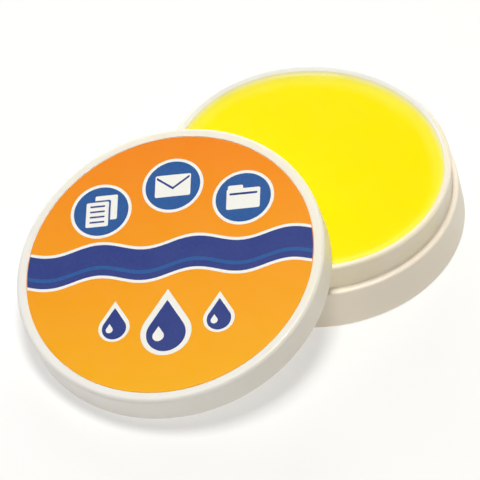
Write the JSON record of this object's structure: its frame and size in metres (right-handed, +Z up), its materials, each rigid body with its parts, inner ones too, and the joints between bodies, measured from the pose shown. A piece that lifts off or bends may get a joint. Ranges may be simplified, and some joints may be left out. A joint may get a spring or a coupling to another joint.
{
  "type": "finger moistener",
  "caption": "Shallow round plastic tub filled with yellow moistening gel, with its labelled push-on lid taken off and leaning on the rim.",
  "frame": {"origin": "middle of the tub's foot, on the surface that the tub and the lid stand on", "axes": "+Z up along the tub's axis; the lid leans towards -Y; X runs across, and X = 0 is the mirror plane"},
  "size_m": [0.057, 0.0906, 0.0219],
  "materials": {
    "white_plastic": "satin",
    "yellow_gel": "gloss",
    "plain_sticker": "matte",
    "printed_film": "satin",
    "liner_foam": "matte"
  },
  "bodies": {
    "tub_body": {"tub": "white_plastic", "gel": "yellow_gel", "base_label": "plain_sticker"},
    "lid_body": {"lid": "white_plastic", "lid_label": "printed_film", "lid_liner": "liner_foam"}
  },
  "joints": [
    {"name": "lid_lift", "type": "slide", "parent": "tub_body", "child": "lid_body", "axis": [0, 0, 1], "range_m": [0, 0.05]}
  ]
}
